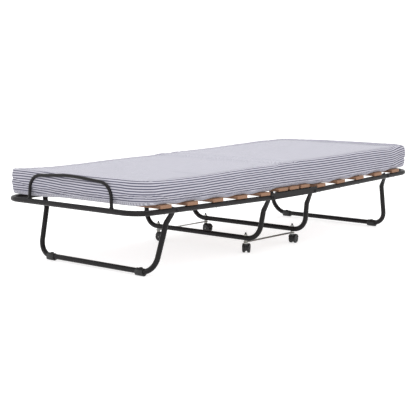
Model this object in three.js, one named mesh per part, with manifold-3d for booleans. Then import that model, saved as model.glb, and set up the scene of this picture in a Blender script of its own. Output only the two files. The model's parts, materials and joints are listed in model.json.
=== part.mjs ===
// Folding cot: two tubular half frames hinged on a short centre section, with wooden
// slats, U-shaped legs, four twin-wheel casters and a foam mattress.
// Millimetres. +X runs from the head end to the foot end, +Y to the left, +Z up, and
// the origin is on the floor under the middle of the cot.

import * as THREE from 'three';
import { mergeVertices } from 'three/addons/utils/BufferGeometryUtils.js';
import Module from 'manifold-3d';

const wasm = await Module();
wasm.setup();

// ---------------------------------------------------------------- driving sizes

const LENGTH = 1900; // over the outsides of the two end rails
const WIDTH = 800; // over the outsides of the side rails
const PIVOT_HEIGHT = 250.4; // fold pivots above the floor
const PIVOT_SPACING = 294; // between the head and foot fold pivots
const FRAME_RISE = 1.25; // degrees that each half frame climbs towards its end

const GAP = 0.3; // between pieces that touch
const PIN_GAP = 0.3; // round a bolt, stem or axle in its hole
const TIP_GAP = 1; // between a side rail and a leg tip, for a thin washer

const TUBE_D = 22;
const TUBE_WALL = 1.2;
const RAIL_CORNER_R = 80;
const RAIL_OVERRUN = 12; // rail past its fold pivot

const HOOP_D = 13;
const HOOP_HEIGHT = 125; // crown's centre line above the end rail's centre line
const HOOP_INSET = 148; // from the side rail to the hoop's foot
const HOOP_SETBACK = 8; // from the end rail's centre line in to the hoop
const HOOP_FOOT = 5.5; // its foot above the end rail's centre line, on the rail's shoulder
const HOOP_LEAN = 3; // each upright leans in by this much
const HOOP_CROWN = 17; // middle of the crown above its corners
const HOOP_CORNER_R = 62;
const HOOP_CROWN_R = 900;

const SLAT_W = 62;
const SLAT_T = 14;
const SLATS_PER_HALF = 5;
const CENTRE_SLATS = 3;
const CENTRE_SLAT_INSET = 69.5; // from the fold pivot to the outer centre slat's centre line
const FIRST_SLAT = 50; // from the fold pivot to the first slat's centre line
const LAST_SLAT_INSET = 142; // from the end rail to the last slat's centre line

const PLATE_T = 2.5;
const PLATE_H = 28.5;
const PLATE_OVERRUN = 15; // plate past each fold pivot
const PLATE_BELOW = 9; // plate's lower edge below the fold pivots
const PLATE_CHAMFER = 7;
const FLANGE_W = 18; // turned-in top edge that carries the centre slats
const FLANGE_INSET = 29; // from the fold pivot to the flange's end

const BOLT_D = 8;
const BOLT_HEAD_D = 15;
const BOLT_HEAD_H = 3.5;
const BOLT_HEAD_EDGE = 1.8; // height of the head's rim
const BOLT_HEAD_FLAT_D = 9;
const BOLT_NUT_D = 13;
const BOLT_NUT_H = 6;

const FLAT_T = 8; // thickness of a flattened leg tip
const FLAT_WIDEN = 1.2; // a flattened tip is this much wider than its tube
const FLAT_RUN = 10; // flat part below the pivot
const FLAT_BLEND = 40; // length over which the tube flattens
const TIP_OVERRUN = 11; // leg tip past its pivot
const NECK_DROP = 16; // from the pivot to the bend that takes the full tube clear of the rail
const NECK_R = 20;
const LEG_CORNER_R = 70;

const LEG_SPLAY = 15.8; // degrees, end legs, feet outwards
const LEG_INSET = 205; // from the end rail to the end leg's pivot
const LEG_SHOULDER = 55; // from the pivot to the straight upright
const LEG_SHOULDER_INSET = 37; // straight upright's top, in from the side rail
const LEG_BAR_INSET = 53.5; // upright's foot, in from the side rail

const MID_SPLAY = 5; // degrees, middle legs
const MID_SHOULDER = 60;
const MID_SHOULDER_INSET = 38;
const MID_BAR_INSET = 58;

const FOOT_INSET = 126; // from the side rail to the middle of a foot
const FOOT_L = 42;
const FOOT_PAD_W = 28;
const FOOT_PAD_T = 6.8; // plastic under the tube
const FOOT_PAD_EDGE = 4; // height of the pad's upright sides
const FOOT_CHEEK = 30; // degrees, the pad's slopes meet the clip this far below its middle
const FOOT_WALL = 3.2;
const FOOT_TAB = [16, 9, 7]; // raised tab on top: along the bar, across, high

const WHEEL_D = 38;
const WHEEL_W = 11;
const WHEEL_ROUND = 3; // radius of a wheel's rims
const WEB_T = 9; // caster body between its wheels
const WHEEL_SIDE_GAP = 0.6;
const AXLE_D = 5;
const AXLE_INSET = 1; // axle's ends inside the wheels' outer faces
const TRAIL = 13; // axle behind the stem
const HOOD_T = 2.2;
const HOOD_CLEARANCE = 1;
const HOOD_FROM = 12; // degrees, the hood's two edges round the axle
const HOOD_TO = 150;
const BOSS_D = 17;
const BOSS_DROP = 6; // depth of the stem's socket
const STEM_D = 8;
const COLLAR_D = 16;
const COLLAR_H = 6;
const NUT_D = 14; // both nuts on a caster stem
const JAM_NUT_H = 4.4;
const TOP_NUT_H = 5;
const STEM_END = 8; // threaded end above the top nut
const CASTER_INSET = 127.5; // from the side rail to a caster's stem
// Way each caster trails from its stem, in degrees from +X.
const CASTER_YAW = { head_left: 270, head_right: 30, foot_left: 262, foot_right: 12 };

const STRIP_W = 20;
const STRIP_T = 2.5;
const STRIP_OVERRUN = 12; // strip past each stem

const MATTRESS_T = 102;
const MATTRESS_INSET = 7; // mattress's sides, in from the cot's width
const MATTRESS_CORNER_R = 55;
const MATTRESS_END_GAP = 2.5; // between the mattress and a hoop
const MATTRESS_FOLD = 36; // from the fold pivot to each half's inner end
const MATTRESS_FOLD_GAP = 2;

// ---------------------------------------------------------------- derived sizes

const TUBE_R = TUBE_D / 2;
const RAIL_Y = WIDTH / 2 - TUBE_R;
const PIVOT_X = PIVOT_SPACING / 2;
const RISE = THREE.MathUtils.degToRad(FRAME_RISE);
const END_REACH = (LENGTH / 2 - TUBE_R - PIVOT_X) / Math.cos(RISE); // pivot to end rail
const HOOP_REACH = END_REACH - HOOP_SETBACK;
const LEG_REACH = END_REACH - LEG_INSET; // fold pivot to end leg pivot
const TIP_Y = RAIL_Y - TUBE_R - TIP_GAP - FLAT_T / 2;
const PLATE_Y = RAIL_Y + TUBE_R + GAP; // inner face of a centre plate
const SLAT_Z = TUBE_R + GAP; // underside of a slat above the rails' centre plane

const AXLE_Z = WHEEL_D / 2;
const HOOD_IN_R = WHEEL_D / 2 + HOOD_CLEARANCE;
const HOOD_OUT_R = HOOD_IN_R + HOOD_T;
const HOOD_TOP = AXLE_Z + HOOD_OUT_R;
const COLLAR_Z = HOOD_TOP + GAP;
const STRIP_Z = COLLAR_Z + COLLAR_H + GAP;
const JAM_NUT_Z = STRIP_Z + STRIP_T + GAP;
const MID_BAR_Z = JAM_NUT_Z + JAM_NUT_H + GAP + TUBE_R;
const WHEEL_Y = WEB_T / 2 + WHEEL_SIDE_GAP; // inner face of a wheel
const CASTER_HALF_W = WHEEL_Y + WHEEL_W;
const CASTER_Y = RAIL_Y - CASTER_INSET;
const MATTRESS_W = WIDTH - 2 * MATTRESS_INSET;

const MID_SPLAY_RAD = THREE.MathUtils.degToRad(MID_SPLAY);
const MID_LENGTH = (PIVOT_HEIGHT - MID_BAR_Z) / Math.cos(MID_SPLAY_RAD);
const MID_BAR_X = PIVOT_X + (PIVOT_HEIGHT - MID_BAR_Z) * Math.tan(MID_SPLAY_RAD);

const LEG_SPLAY_RAD = THREE.MathUtils.degToRad(LEG_SPLAY);
const LEG_BAR_Z = FOOT_PAD_T + GAP + TUBE_R;
const LEG_PIVOT_Z = PIVOT_HEIGHT + LEG_REACH * Math.sin(RISE);
const LEG_LENGTH = (LEG_PIVOT_Z - LEG_BAR_Z) / Math.cos(LEG_SPLAY_RAD);

const ROUND = 12; // flats round a tube
const SMALL_ROUND = 10; // flats round a bolt, stem or axle
const ARC_STEP = Math.PI / 9; // largest turn between two stations of a bend
const WHEEL_FLATS = 16; // flats round a wheel
const HOOD_FLATS = 7; // flats along the hood's arc
const MERGE_TOLERANCE = 1e-4;

// The two ends of the cot. Each is built pointing along +X and turned into place, so a
// piece at +y lies on the left at the foot end and on the right at the head end.
const ENDS = [
  { name: 'head', turn: Math.PI, sides: [{ name: 'left', y: -1 }, { name: 'right', y: 1 }] },
  { name: 'foot', turn: 0, sides: [{ name: 'left', y: 1 }, { name: 'right', y: -1 }] },
];

const FINISHES = {
  frame: { color: 0x35343a, roughness: 0.45, metalness: 0.5 },
  wood: { color: 0xa8754f, roughness: 0.6, metalness: 0 },
  plastic: { color: 0x141414, roughness: 0.5, metalness: 0 },
  zinc: { color: 0xa9acb0, roughness: 0.35, metalness: 0.9 },
  bolt: { color: 0x2c2c30, roughness: 0.4, metalness: 0.7 },
  ticking: { color: 0xc9c6d2, roughness: 0.9, metalness: 0 },
};

// ---------------------------------------------------------------- helpers

// A centre line in one plane: straight runs joined by arcs. It has a station at each
// end of a run and evenly along each bend, and ExtrudeGeometry takes one step a station.
class BentLine extends THREE.Curve {
  // corners: [a, b, bend radius] in the plane; place: turns (a, b) into a point in space
  constructor(corners, place) {
    super();
    const flat = corners.map(([a, b]) => new THREE.Vector2(a, b));
    const stations = [];
    flat.forEach((corner, i) => {
      const before = flat[i - 1] && corner.clone().sub(flat[i - 1]).normalize();
      const after = flat[i + 1] && flat[i + 1].clone().sub(corner).normalize();
      if (!before || !after) {
        stations.push([corner, before || after]);
        return;
      }
      const turn = Math.atan2(before.cross(after), before.dot(after));
      const radius = corners[i][2] || 0;
      if (Math.abs(turn) < 1e-6 || radius === 0) {
        stations.push([corner, after]);
        return;
      }
      const reach = radius * Math.tan(Math.abs(turn) / 2);
      const start = corner.clone().addScaledVector(before, -reach);
      const inward = new THREE.Vector2(-before.y, before.x).multiplyScalar(Math.sign(turn));
      const centre = start.clone().addScaledVector(inward, radius);
      const count = Math.max(1, Math.ceil(Math.abs(turn) / ARC_STEP));
      for (let k = 0; k <= count; k += 1) {
        const angle = (turn * k) / count;
        const point = start.clone().rotateAround(centre, angle);
        const origin = new THREE.Vector2();
        stations.push([point, before.clone().rotateAround(origin, angle)]);
      }
    });
    this.points = stations.map(([point]) => place(point.x, point.y));
    const base = place(0, 0);
    this.tangents = stations.map(([, t]) => place(t.x, t.y).sub(base).normalize());
    this.steps = stations.length - 1;
  }

  getPointAt(u) {
    return this.points[Math.round(u * this.steps)].clone();
  }

  getTangentAt(u) {
    return this.tangents[Math.round(u * this.steps)].clone();
  }
}

const inXY = (a, b) => new THREE.Vector3(a, b, 0);
const inYZ = (a, b) => new THREE.Vector3(0, a, b);

function circle(radius) {
  return new THREE.Shape().absarc(0, 0, radius, 0, 2 * Math.PI);
}

// A tube, or a solid rod where wall is 0, along a bent line.
function sweep(line, diameter, wall, flats) {
  const section = circle(diameter / 2);
  if (wall > 0) {
    section.holes.push(new THREE.Path().absarc(0, 0, diameter / 2 - wall, 0, 2 * Math.PI, true));
  }
  return new THREE.ExtrudeGeometry(section, {
    steps: line.steps,
    curveSegments: flats / 2,
    bevelEnabled: false,
    extrudePath: line,
  });
}

function extrude(shape, depth, curveSegments = 6) {
  return new THREE.ExtrudeGeometry(shape, { depth, curveSegments, bevelEnabled: false });
}

// Turns a shape drawn in X and Z, and extruded along +Y from y = 0, upright.
function extrudeAlongY(shape, depth, curveSegments) {
  return extrude(shape, depth, curveSegments).rotateX(Math.PI / 2).translate(0, depth, 0);
}

// A turned piece on the Z axis from (radius, z) points; the axis closes it.
function turned(profile, flats = SMALL_ROUND) {
  const closed = [[0, profile[0][1]], ...profile, [0, profile[profile.length - 1][1]]];
  return new THREE.LatheGeometry(closed.map(([r, z]) => new THREE.Vector2(r, z)), flats)
    .rotateX(Math.PI / 2);
}

function rod(radius, length, flats = SMALL_ROUND) {
  return new THREE.CylinderGeometry(radius, radius, length, flats); // along Y
}

function toSolid(geometry) {
  const bare = geometry.clone();
  bare.deleteAttribute('normal');
  bare.deleteAttribute('uv');
  const merged = mergeVertices(bare, MERGE_TOLERANCE);
  return new wasm.Manifold(new wasm.Mesh({
    numProp: 3,
    vertProperties: new Float32Array(merged.attributes.position.array),
    triVerts: new Uint32Array(merged.index.array),
  }));
}

function toGeometry(solid) {
  const { vertProperties, triVerts } = solid.getMesh();
  const geometry = new THREE.BufferGeometry();
  geometry.setAttribute('position', new THREE.BufferAttribute(vertProperties, 3));
  geometry.setIndex(new THREE.BufferAttribute(triVerts, 1));
  geometry.computeVertexNormals();
  return geometry;
}

function join(...geometries) {
  return toGeometry(geometries.map(toSolid).reduce((sum, piece) => sum.add(piece)));
}

function cut(geometry, ...holes) {
  return toGeometry(holes.map(toSolid).reduce((left, hole) => left.subtract(hole), toSolid(geometry)));
}

function add(group, name, geometry, finish) {
  const material = new THREE.MeshStandardMaterial(FINISHES[finish]);
  const mesh = new THREE.Mesh(geometry, material);
  mesh.name = name;
  group.add(mesh);
  return mesh;
}

// ---------------------------------------------------------------- frame pieces

// U-shaped half frame in its own plane: origin midway between its two fold pivots,
// +X out to the end rail.
function halfFrame() {
  const line = new BentLine([
    [-RAIL_OVERRUN, RAIL_Y],
    [END_REACH, RAIL_Y, RAIL_CORNER_R],
    [END_REACH, -RAIL_Y, RAIL_CORNER_R],
    [-RAIL_OVERRUN, -RAIL_Y],
  ], inXY);
  const holes = [];
  for (const y of [RAIL_Y, -RAIL_Y]) {
    for (const x of [0, LEG_REACH]) {
      holes.push(rod(BOLT_D / 2 + PIN_GAP, TUBE_D + 2).translate(x, y, 0));
    }
  }
  return cut(sweep(line, TUBE_D, TUBE_WALL, ROUND), ...holes);
}

// Mattress hoop in the plane of its two uprights, with its feet cut to fit the end rail.
function hoop() {
  const half = RAIL_Y - HOOP_INSET;
  const corner = half - HOOP_LEAN;
  const shoulder = HOOP_HEIGHT - HOOP_CROWN;
  const line = new BentLine([
    [half, HOOP_FOOT],
    [corner, shoulder, HOOP_CORNER_R],
    [0, HOOP_HEIGHT, HOOP_CROWN_R],
    [-corner, shoulder, HOOP_CORNER_R],
    [-half, HOOP_FOOT],
  ], inYZ);
  const rail = rod(TUBE_R + GAP, 2 * RAIL_Y, ROUND).translate(HOOP_SETBACK, 0, 0);
  return cut(sweep(line, HOOP_D, 0, SMALL_ROUND), rail);
}

// Squeezes both tips of an upright U leg flat against the inside of the side rails.
function flattenTips(geometry) {
  const position = geometry.attributes.position;
  for (let i = 0; i < position.count; i += 1) {
    const side = Math.sign(position.getY(i));
    const depth = position.getZ(i) + FLAT_RUN + FLAT_BLEND;
    const share = THREE.MathUtils.smoothstep(depth, 0, FLAT_BLEND);
    const thin = THREE.MathUtils.lerp(1, FLAT_T / TUBE_D, share);
    const wide = THREE.MathUtils.lerp(1, FLAT_WIDEN, share);
    if (share > 0) {
      position.setY(i, side * (TIP_Y + (side * position.getY(i) - TIP_Y) * thin));
      position.setX(i, position.getX(i) * wide);
    }
  }
  return geometry;
}

// Centre line of a U-shaped leg: origin midway between its two pivots, legs down along -Z.
function legLine(length, shoulder, shoulderInset, barInset) {
  const half = [
    [TIP_Y, TIP_OVERRUN],
    [TIP_Y, -FLAT_RUN],
    [TIP_Y, -NECK_DROP, NECK_R],
    [RAIL_Y - shoulderInset, -shoulder, NECK_R],
    [RAIL_Y - barInset, -length, LEG_CORNER_R],
  ];
  const otherHalf = half.map(([y, z, r]) => [-y, z, r]).reverse();
  return new BentLine([...half, ...otherHalf], inYZ);
}

function uLeg(line, extraHoles = []) {
  const tube = flattenTips(sweep(line, TUBE_D, TUBE_WALL, ROUND));
  const holes = [TIP_Y, -TIP_Y].map((y) => (
    rod(BOLT_D / 2 + PIN_GAP, FLAT_T + 2).translate(0, y, 0)));
  return cut(tube, ...holes, ...extraHoles);
}

function slat() {
  return new THREE.BoxGeometry(SLAT_W, WIDTH, SLAT_T);
}

// Centre plate on the +Y side: an upright web outside the rail ends, with its top edge
// turned in under the centre slats.
function centrePlate() {
  const half = PIVOT_X + PLATE_OVERRUN;
  const low = PIVOT_HEIGHT - PLATE_BELOW;
  const high = low + PLATE_H;
  const outline = new THREE.Shape([
    [-half, low + PLATE_CHAMFER], [-half + PLATE_CHAMFER, low],
    [half - PLATE_CHAMFER, low], [half, low + PLATE_CHAMFER],
    [half, high - PLATE_CHAMFER], [half - PLATE_CHAMFER, high],
    [-half + PLATE_CHAMFER, high], [-half, high - PLATE_CHAMFER],
  ].map(([x, z]) => new THREE.Vector2(x, z)));
  const web = extrudeAlongY(outline, PLATE_T).translate(0, PLATE_Y, 0);
  const flange = new THREE.BoxGeometry(2 * (PIVOT_X - FLANGE_INSET), FLANGE_W + PLATE_T, PLATE_T)
    .translate(0, PLATE_Y + (PLATE_T - FLANGE_W) / 2, high - PLATE_T / 2);
  const holes = [PIVOT_X, -PIVOT_X].map((x) => (
    rod(BOLT_D / 2 + PIN_GAP, 4 * PLATE_T).translate(x, PLATE_Y + PLATE_T / 2, PIVOT_HEIGHT)));
  return cut(join(web, flange), ...holes);
}

// Bolt along +Y with its nut: the head's underside is at y = head, and the nut starts
// at y = nut, nearer the middle of the cot.
function bolt(head, nut) {
  const profile = [
    [BOLT_NUT_D / 2, nut - BOLT_NUT_H],
    [BOLT_NUT_D / 2, nut],
    [BOLT_D / 2, nut],
    [BOLT_D / 2, head],
    [BOLT_HEAD_D / 2, head],
    [BOLT_HEAD_D / 2, head + BOLT_HEAD_EDGE],
    [BOLT_HEAD_FLAT_D / 2, head + BOLT_HEAD_H],
  ];
  return turned(profile).rotateX(-Math.PI / 2);
}

// Plastic clip round an end leg's bar, with a flat pad below and a raised tab on top.
// Origin on the bar's centre line, at y from the middle of the leg.
function legFoot(line, y) {
  const ring = TUBE_R + GAP + FOOT_WALL;
  const low = -LEG_BAR_Z;
  const half = FOOT_PAD_W / 2;
  const cheek = THREE.MathUtils.degToRad(FOOT_CHEEK);
  const outline = new THREE.Shape();
  outline.moveTo(-half, low);
  outline.lineTo(half, low);
  outline.lineTo(half, low + FOOT_PAD_EDGE);
  outline.absarc(0, 0, ring, -cheek, Math.PI + cheek);
  outline.lineTo(-half, low + FOOT_PAD_EDGE);
  outline.closePath();
  const body = extrudeAlongY(outline, FOOT_L, ROUND / 2).translate(0, -FOOT_L / 2, 0);
  const [along, across, high] = FOOT_TAB;
  const tab = new THREE.BoxGeometry(across, along, high + FOOT_WALL)
    .translate(0, 0, ring + (high - FOOT_WALL) / 2);
  const leg = sweep(line, TUBE_D + 2 * GAP, 0, ROUND)
    .translate(0, -y, LEG_LENGTH).rotateY(-LEG_SPLAY_RAD);
  return cut(join(body, tab), leg);
}

// ---------------------------------------------------------------- casters

// Threaded stem with its collar, jam nut and top nut, in heights above the floor.
function casterStem() {
  const stem = STEM_D / 2;
  const nut = NUT_D / 2;
  const topNut = MID_BAR_Z + TUBE_R + GAP;
  const end = topNut + TOP_NUT_H + STEM_END;
  return turned([
    [stem, HOOD_TOP - BOSS_DROP + GAP],
    [stem, COLLAR_Z],
    [COLLAR_D / 2, COLLAR_Z],
    [COLLAR_D / 2, COLLAR_Z + COLLAR_H],
    [stem, COLLAR_Z + COLLAR_H],
    [stem, JAM_NUT_Z],
    [nut, JAM_NUT_Z],
    [nut, JAM_NUT_Z + JAM_NUT_H],
    [stem, JAM_NUT_Z + JAM_NUT_H],
    [stem, topNut],
    [nut, topNut],
    [nut, topNut + TOP_NUT_H],
    [stem, topNut + TOP_NUT_H],
    [stem, end - stem / 2],
    [stem / 2, end],
  ]);
}

// Caster body: stem axis on Z, axle TRAIL away along +X. A hood over both wheels, with
// a web between them that carries the axle.
function casterBody() {
  const from = THREE.MathUtils.degToRad(HOOD_FROM);
  const to = THREE.MathUtils.degToRad(HOOD_TO);
  const hoodShape = new THREE.Shape();
  hoodShape.absarc(0, 0, HOOD_OUT_R, from, to);
  hoodShape.absarc(0, 0, HOOD_IN_R, to, from, true);
  const hood = extrudeAlongY(hoodShape, 2 * CASTER_HALF_W, HOOD_FLATS)
    .translate(TRAIL, -CASTER_HALF_W, AXLE_Z);
  const webShape = new THREE.Shape();
  const middle = (HOOD_IN_R + HOOD_OUT_R) / 2;
  webShape.absarc(0, 0, middle, from, to);
  webShape.absarc(0, 0, AXLE_D, Math.PI, 2 * Math.PI);
  const web = extrudeAlongY(webShape, WEB_T, HOOD_FLATS).translate(TRAIL, -WEB_T / 2, AXLE_Z);
  const boss = rod(BOSS_D / 2, BOSS_DROP).rotateX(Math.PI / 2)
    .translate(0, 0, HOOD_TOP - BOSS_DROP / 2);
  const axleHole = rod(AXLE_D / 2 + PIN_GAP, 2 * WEB_T).translate(TRAIL, 0, AXLE_Z);
  const socket = rod(STEM_D / 2 + PIN_GAP, 2 * BOSS_DROP).rotateX(Math.PI / 2)
    .translate(0, 0, HOOD_TOP);
  return cut(join(hood, web, boss), axleHole, socket);
}

// Wheel with rounded rims, bored for the axle, from y = 0 to y = WHEEL_W.
function wheel() {
  const r = WHEEL_D / 2;
  const bore = AXLE_D / 2 + PIN_GAP;
  const profile = [
    [bore, 0], [r - WHEEL_ROUND, 0], [r, WHEEL_ROUND], [r, WHEEL_W - WHEEL_ROUND],
    [r - WHEEL_ROUND, WHEEL_W], [bore, WHEEL_W], [bore, 0],
  ];
  return new THREE.LatheGeometry(profile.map(([x, y]) => new THREE.Vector2(x, y)), WHEEL_FLATS);
}

// ---------------------------------------------------------------- mattress

// One half of the mattress, laid on the slats from near the fold to the hoop.
function mattressHalf() {
  const from = MATTRESS_FOLD;
  const to = HOOP_REACH - HOOP_D / 2 - MATTRESS_END_GAP;
  const half = MATTRESS_W / 2;
  const r = MATTRESS_CORNER_R;
  const plan = new THREE.Shape();
  plan.moveTo(from, -half);
  plan.lineTo(to - r, -half);
  plan.absarc(to - r, -half + r, r, -Math.PI / 2, 0);
  plan.absarc(to - r, half - r, r, 0, Math.PI / 2);
  plan.lineTo(from, half);
  plan.closePath();
  return extrude(plan, MATTRESS_T).translate(0, 0, SLAT_Z + SLAT_T + GAP);
}

// ---------------------------------------------------------------- assembly

const cot = new THREE.Group();
const slatAcross = SLAT_Z + SLAT_T / 2;

function buildHalf(end) {
  const outward = new THREE.Group();
  outward.rotation.z = end.turn;
  cot.add(outward);
  const half = new THREE.Group();
  half.position.set(PIVOT_X, 0, PIVOT_HEIGHT);
  half.rotation.y = -RISE;
  outward.add(half);

  add(half, `${end.name}_frame_tube`, halfFrame(), 'frame');
  add(half, `${end.name}_hoop`, hoop(), 'frame').position.x = HOOP_REACH;
  const lastSlat = END_REACH - LAST_SLAT_INSET;
  const pitch = (lastSlat - FIRST_SLAT) / (SLATS_PER_HALF - 1);
  for (let i = 0; i < SLATS_PER_HALF; i += 1) {
    const mesh = add(half, `${end.name}_slat_${i + 1}`, slat(), 'wood');
    mesh.position.set(FIRST_SLAT + i * pitch, 0, slatAcross);
  }
  add(half, `${end.name}_mattress`, mattressHalf(), 'ticking');

  const leg = new THREE.Group();
  leg.position.set(LEG_REACH, 0, 0);
  leg.rotation.y = RISE - LEG_SPLAY_RAD;
  half.add(leg);
  const line = legLine(LEG_LENGTH, LEG_SHOULDER, LEG_SHOULDER_INSET, LEG_BAR_INSET);
  add(leg, `${end.name}_end_leg`, uLeg(line), 'frame');
  for (const side of end.sides) {
    const footY = side.y * (RAIL_Y - FOOT_INSET);
    const glide = add(leg, `${end.name}_${side.name}_glide`, legFoot(line, footY), 'plastic');
    glide.position.set(0, footY, -LEG_LENGTH);
    glide.rotation.y = LEG_SPLAY_RAD;
    const pin = add(half, `${end.name}_${side.name}_leg_bolt`, bolt(
      RAIL_Y + TUBE_R + GAP, TIP_Y - FLAT_T / 2 - GAP,
    ), 'bolt');
    pin.position.x = LEG_REACH;
    pin.rotation.z = side.y > 0 ? 0 : Math.PI;
  }
}

function buildCentre(end) {
  const outward = new THREE.Group();
  outward.rotation.z = end.turn;
  cot.add(outward);

  const leg = new THREE.Group();
  leg.position.set(PIVOT_X, 0, PIVOT_HEIGHT);
  leg.rotation.y = -MID_SPLAY_RAD;
  outward.add(leg);
  const stemHoles = [1, -1].map((side) => (
    rod(STEM_D / 2 + PIN_GAP, 2 * TUBE_D).rotateX(Math.PI / 2).rotateY(MID_SPLAY_RAD)
      .translate(0, side * CASTER_Y, -MID_LENGTH)));
  const line = legLine(MID_LENGTH, MID_SHOULDER, MID_SHOULDER_INSET, MID_BAR_INSET);
  add(leg, `${end.name}_mid_leg`, uLeg(line, stemHoles), 'frame');

  for (const side of end.sides) {
    const corner = `${end.name}_${side.name}`;
    const pin = add(outward, `${corner}_fold_bolt`, bolt(
      PLATE_Y + PLATE_T + GAP, TIP_Y - FLAT_T / 2 - GAP,
    ), 'bolt');
    pin.position.set(PIVOT_X, 0, PIVOT_HEIGHT);
    pin.rotation.z = side.y > 0 ? 0 : Math.PI;

    const station = new THREE.Group();
    station.position.set(MID_BAR_X, side.y * CASTER_Y, 0);
    outward.add(station);
    add(station, `${corner}_caster_stem`, casterStem(), 'zinc');
    const caster = new THREE.Group();
    caster.rotation.z = THREE.MathUtils.degToRad(CASTER_YAW[corner]) - end.turn;
    station.add(caster);
    add(caster, `${corner}_caster_body`, casterBody(), 'plastic');
    const axle = new THREE.Group();
    axle.position.set(TRAIL, 0, AXLE_Z);
    caster.add(axle);
    add(axle, `${corner}_axle`, rod(AXLE_D / 2, 2 * (CASTER_HALF_W - AXLE_INSET)), 'zinc');
    add(axle, `${corner}_wheel_a`, wheel(), 'plastic').position.y = WHEEL_Y;
    add(axle, `${corner}_wheel_b`, wheel(), 'plastic').position.y = -WHEEL_Y - WHEEL_W;
  }
}

function buildMiddle() {
  for (const side of [{ name: 'left', y: 1, turn: 0 }, { name: 'right', y: -1, turn: Math.PI }]) {
    add(cot, `${side.name}_centre_plate`, centrePlate(), 'frame').rotation.z = side.turn;
    const half = MID_BAR_X + STRIP_OVERRUN;
    const shape = new THREE.Shape();
    const r = STRIP_W / 2;
    shape.absarc(half - r, 0, r, -Math.PI / 2, Math.PI / 2);
    shape.absarc(-half + r, 0, r, Math.PI / 2, (3 * Math.PI) / 2);
    const holes = [MID_BAR_X, -MID_BAR_X].map((x) => (
      rod(STEM_D / 2 + PIN_GAP, 4 * STRIP_T).rotateX(Math.PI / 2).translate(x, 0, STRIP_T / 2)));
    const strip = add(cot, `${side.name}_link_strip`, cut(extrude(shape, STRIP_T), ...holes), 'zinc');
    strip.position.set(0, side.y * CASTER_Y, STRIP_Z);
  }
  const plateTop = PIVOT_HEIGHT - PLATE_BELOW + PLATE_H;
  const outer = PIVOT_X - CENTRE_SLAT_INSET;
  const pitch = (2 * outer) / (CENTRE_SLATS - 1);
  for (let i = 0; i < CENTRE_SLATS; i += 1) {
    const mesh = add(cot, `centre_slat_${i + 1}`, slat(), 'wood');
    mesh.position.set(i * pitch - outer, 0, plateTop + GAP + SLAT_T / 2);
  }
  const low = plateTop + 2 * GAP + SLAT_T;
  const high = PIVOT_HEIGHT + SLAT_Z + SLAT_T + GAP + MATTRESS_T;
  const reach = PIVOT_X + MATTRESS_FOLD - MATTRESS_FOLD_GAP - MATTRESS_T * Math.sin(RISE);
  add(cot, 'centre_mattress', new THREE.BoxGeometry(2 * reach, MATTRESS_W, high - low), 'ticking')
    .position.z = (low + high) / 2;
}

for (const end of ENDS) {
  buildHalf(end);
  buildCentre(end);
}
buildMiddle();

export default cot;
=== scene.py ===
"""Folding cot: the visible pieces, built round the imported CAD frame.

Metres. +X runs from the head end to the foot end, +Y to the left, +Z up. Each operator builds one
piece or one group of like pieces, in place, and hides the CAD nodes that they stand for.
"""

import json
import math

import bpy
import numpy as np
from mathutils import Matrix, Vector


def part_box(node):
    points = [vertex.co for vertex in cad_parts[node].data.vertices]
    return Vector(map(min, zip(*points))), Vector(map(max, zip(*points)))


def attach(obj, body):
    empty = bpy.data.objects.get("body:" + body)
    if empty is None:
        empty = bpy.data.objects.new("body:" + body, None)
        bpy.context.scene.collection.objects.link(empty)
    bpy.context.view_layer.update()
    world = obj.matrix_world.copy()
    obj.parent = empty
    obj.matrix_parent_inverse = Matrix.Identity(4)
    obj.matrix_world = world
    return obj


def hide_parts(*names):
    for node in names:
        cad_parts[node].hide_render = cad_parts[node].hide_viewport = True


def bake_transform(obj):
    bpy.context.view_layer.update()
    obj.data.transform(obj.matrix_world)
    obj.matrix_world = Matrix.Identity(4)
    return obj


bl_info = {
    "name": "Folding cot",
    "version": (1, 0, 0),
    "blender": (4, 5, 0),
    "location": "3D View > Sidebar > Folding cot",
    "description": "Builds a folding cot with a slatted tubular frame, casters and a striped mattress",
    "category": "Add Mesh",
}

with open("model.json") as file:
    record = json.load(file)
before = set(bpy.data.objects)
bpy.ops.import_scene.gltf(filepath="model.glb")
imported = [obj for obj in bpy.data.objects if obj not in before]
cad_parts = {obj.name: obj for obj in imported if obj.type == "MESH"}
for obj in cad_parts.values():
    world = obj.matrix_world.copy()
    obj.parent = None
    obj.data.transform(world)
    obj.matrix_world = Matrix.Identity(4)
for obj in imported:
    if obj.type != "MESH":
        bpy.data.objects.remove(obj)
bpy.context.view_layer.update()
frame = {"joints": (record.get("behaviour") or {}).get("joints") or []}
JOINTS = {joint["name"]: joint for joint in frame["joints"]}
ENDS = {"head": -1, "foot": 1}
SIDES = {"left": 1, "right": -1}
CORNERS = [(end, side) for end in ENDS for side in SIDES]
MM = 0.001


# ------------------------------------------------------------------ places read from the frame


def pivot(joint):
    """Where a joint's axis passes, as an array."""
    return np.array(JOINTS[joint]["pos_m"], float)


def low(node):
    return np.array(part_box(node)[0])


def high(node):
    return np.array(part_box(node)[1])


def midpoint(node):
    return (low(node) + high(node)) / 2


FOLD = pivot("foot_fold")
LEG_PIVOT = pivot("foot_leg_fold")
RISE = math.atan2(LEG_PIVOT[2] - FOLD[2], LEG_PIVOT[0] - FOLD[0])  # climb of each half frame
SLAT_TOP = high("foot_slat_1")[2] - FOLD[2] - 31 * MM * math.sin(RISE)


def outward(end, points, origin, tilt):
    """Carries points from an end's own frame into place.

    The end's own frame has +x outwards. The points are tilted about y until +x climbs by the
    angle tilt, moved to origin (x, z), and for the head end turned half a turn about z.
    """
    x = points[..., 0] * math.cos(tilt) - points[..., 2] * math.sin(tilt) + origin[0]
    z = points[..., 0] * math.sin(tilt) + points[..., 2] * math.cos(tilt) + origin[1]
    turn = ENDS[end]
    return np.stack([turn * x, turn * points[..., 1], z], axis=-1)


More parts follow.
